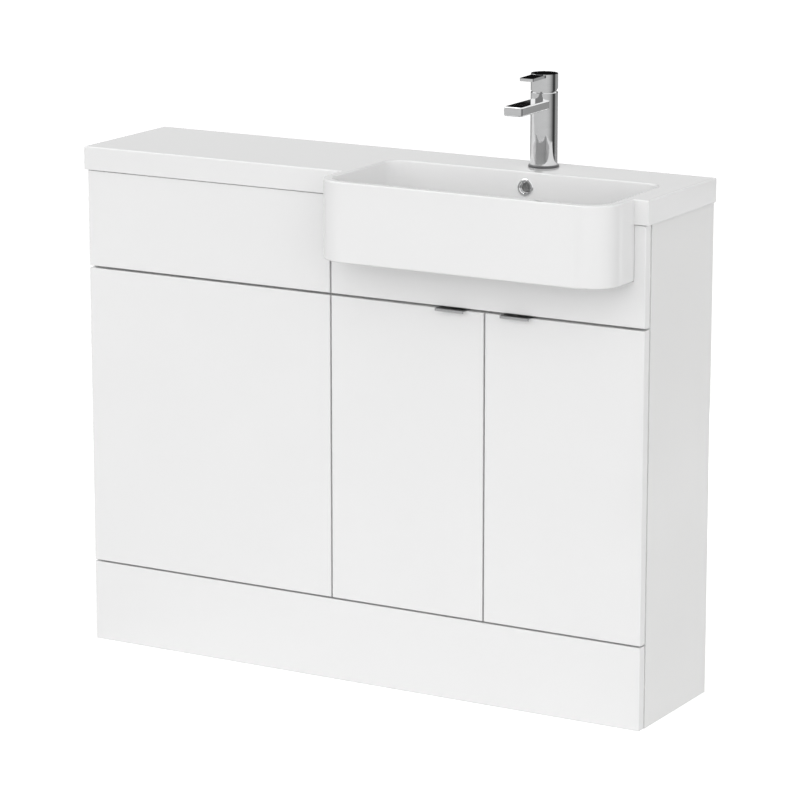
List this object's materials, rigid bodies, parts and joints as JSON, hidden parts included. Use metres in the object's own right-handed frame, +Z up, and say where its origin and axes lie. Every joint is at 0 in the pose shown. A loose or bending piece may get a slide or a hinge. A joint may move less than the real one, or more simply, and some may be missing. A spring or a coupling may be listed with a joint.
{
  "type": "combination vanity unit",
  "caption": "White gloss bathroom unit: a plain-panelled WC section beside a vanity cupboard with doors, under one moulded worktop with a projecting basin and a mixer tap.",
  "frame": {"origin": "on the floor, in the middle of the width and of the depth from the basin's front to the wall", "axes": "+X to the right along the wall, +Y to the wall, +Z up"},
  "size_m": [1.108, 0.356, 1.0645],
  "materials": {
    "gloss_white": "white high-gloss foil on fibreboard",
    "white_board": "white melamine on chipboard",
    "cast_marble": "white cast mineral marble with a glossy gel coat",
    "chrome": "polished chrome plate",
    "steel": "nickel-plated pressed steel",
    "plastic": "white moulded polypropylene",
    "rubber": "black rubber",
    "brass": "plain turned brass"
  },
  "bodies": {
    "unit": {"wc_upper_panel": "gloss_white", "wc_lower_panel": "gloss_white", "vanity_fascia": "gloss_white", "plinth": "gloss_white", "wc_left_side": "white_board", "wc_right_side": "white_board", "wc_top_front_rail": "white_board", "wc_middle_rail": "white_board", "wc_bottom_rail": "white_board", "wc_cistern_rail": "white_board", "wc_top_back_rail": "white_board", "vanity_left_side": "white_board", "vanity_right_side": "white_board", "vanity_top_back_rail": "white_board", "vanity_front_rail": "white_board", "vanity_base": "white_board", "vanity_shelf": "white_board", "vanity_back_panel": "white_board", "worktop_basin": "cast_marble", "overflow_ring": "chrome", "waste_body": "chrome", "tap_body": "chrome", "shelf_pins": "steel", "unit_connecting_bolts": "steel", "hinge_arms": "steel", "hinge_plates": "steel", "tap_clamp_plate": "steel", "tap_stud": "steel", "tap_cartridge_nut": "steel", "panel_clips": "plastic", "trap_inlet_nut": "plastic", "trap_body": "plastic", "trap_cup": "plastic", "trap_outlet_nut": "plastic", "waste_pipe": "plastic", "tap_cartridge": "plastic", "tap_aerator": "plastic", "waste_seal": "rubber", "tap_base_ring": "rubber", "tap_seal": "rubber", "waste_backnut": "brass", "tap_stud_nut": "brass"},
    "left_links": {"left_hinge_links": "steel"},
    "left_door_leaf": {"left_door": "gloss_white", "left_door_handle": "chrome", "left_handle_screws": "steel", "left_hinge_cups": "steel", "left_door_buffers": "rubber"},
    "right_links": {"right_hinge_links": "steel"},
    "right_door_leaf": {"right_door": "gloss_white", "right_door_handle": "chrome", "right_handle_screws": "steel", "right_hinge_cups": "steel", "right_door_buffers": "rubber"},
    "tap_core": {"tap_driver": "plastic"},
    "tap_lever": {"tap_spindle": "steel", "tap_handle": "chrome"},
    "click_plug": {"waste_plug": "chrome"}
  },
  "joints": [
    {"name": "left_hinge_turn", "type": "hinge", "parent": "unit", "child": "left_links", "pos_m": [-0.0185, -0.0515, 0.41725], "axis": [0, 0, 1], "range_deg": [0, 66]},
    {"name": "left_door_turn", "type": "hinge", "parent": "left_links", "child": "left_door_leaf", "pos_m": [-0.0362, -0.0615, 0.41725], "axis": [0, 0, -1], "range_deg": [0, 161.2]},
    {"name": "right_hinge_turn", "type": "hinge", "parent": "unit", "child": "right_links", "pos_m": [0.5185, -0.0515, 0.41725], "axis": [0, 0, -1], "range_deg": [0, 66]},
    {"name": "right_door_turn", "type": "hinge", "parent": "right_links", "child": "right_door_leaf", "pos_m": [0.5362, -0.0615, 0.41725], "axis": [0, 0, 1], "range_deg": [0, 161.2]},
    {"name": "tap_turn", "type": "hinge", "parent": "unit", "child": "tap_core", "pos_m": [0.25, 0.133, 1.0222], "axis": [0, 0, 1], "range_deg": [-45, 45]},
    {"name": "tap_tilt", "type": "hinge", "parent": "tap_core", "child": "tap_lever", "pos_m": [0.25, 0.133, 1.0222], "axis": [-1, 0, 0], "range_deg": [0, 20]},
    {"name": "plug_rise", "type": "slide", "parent": "unit", "child": "click_plug", "axis": [0, 0, 1], "range_m": [0, 0.008]}
  ],
  "couplings": [
    {"joint": "left_door_turn", "follows": "left_hinge_turn", "ratio": 2.4388},
    {"joint": "right_door_turn", "follows": "right_hinge_turn", "ratio": 2.4388}
  ]
}
